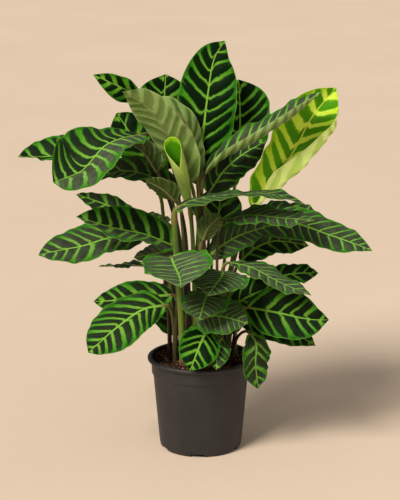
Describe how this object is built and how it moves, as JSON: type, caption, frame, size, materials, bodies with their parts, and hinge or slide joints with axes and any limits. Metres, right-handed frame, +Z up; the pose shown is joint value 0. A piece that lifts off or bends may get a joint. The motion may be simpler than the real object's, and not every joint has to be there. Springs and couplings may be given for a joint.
{
  "type": "potted calathea",
  "caption": "Potted calathea with long waved leaves striped light and dark green, on slim stalks rising from soil in a round black nursery pot; stands on a floor or shelf",
  "frame": {"origin": "the middle of the pot's foot, on the surface the pot stands on", "axes": "+Z up along the pot's axis; -Y is the front of the plant as pictured; +X is to the right seen from the front"},
  "size_m": [0.6195, 0.4084, 0.7231],
  "materials": {
    "pot": "matte charcoal black plastic with a faint sheen on the rim",
    "soil": "loose dark potting soil with bark chips",
    "leaf": "soft velvety blade, dark green bands between light green veins, grey-green underneath, olive stalks",
    "young_leaf": "fresh leaf, bright green with yellow-green stripes, pale underneath"
  },
  "bodies": {
    "root": {"pot": "pot", "soil": "soil", "leaf_crown_tall": "leaf", "leaf_crown_behind_right": "leaf", "leaf_crown_behind_left": "leaf", "leaf_crown_long_right": "leaf", "leaf_young_striped": "young_leaf", "leaf_crown_inner_right": "leaf", "leaf_crown_arched": "leaf", "leaf_crown_underside": "leaf", "leaf_crown_left_back": "leaf", "leaf_left_great": "leaf", "leaf_left_far": "leaf", "leaf_left_small_underside": "leaf", "leaf_left_shaded": "leaf", "leaf_centre_underside": "leaf", "leaf_left_long": "leaf", "leaf_left_blunt": "leaf", "leaf_left_behind": "leaf", "leaf_left_flat": "leaf", "leaf_left_curled": "leaf", "leaf_left_low_back": "leaf", "leaf_left_low": "leaf", "leaf_front_great": "leaf", "leaf_front_middle": "leaf", "leaf_front_low": "leaf", "leaf_front_low_right": "leaf", "leaf_front_hanging": "leaf", "leaf_front_hanging_right": "leaf", "leaf_centre_small": "leaf", "leaf_right_arched": "leaf", "leaf_right_upper": "leaf", "leaf_right_behind": "leaf", "leaf_right_longest": "leaf", "leaf_right_inner": "leaf", "leaf_right_middle": "leaf", "leaf_right_broad": "leaf", "leaf_right_low_behind": "leaf", "leaf_right_shaded": "leaf", "leaf_right_low": "leaf", "leaf_right_low_under": "leaf", "leaf_right_hanging": "leaf", "leaf_inner_right": "leaf", "leaf_back_middle": "leaf", "leaf_back_left": "leaf", "leaf_back_right": "leaf", "leaf_back_low_left": "leaf", "leaf_back_low_right": "leaf", "leaf_back_upper": "leaf", "leaf_back_low": "leaf", "leaf_new_furled": "young_leaf"}
  },
  "joints": []
}
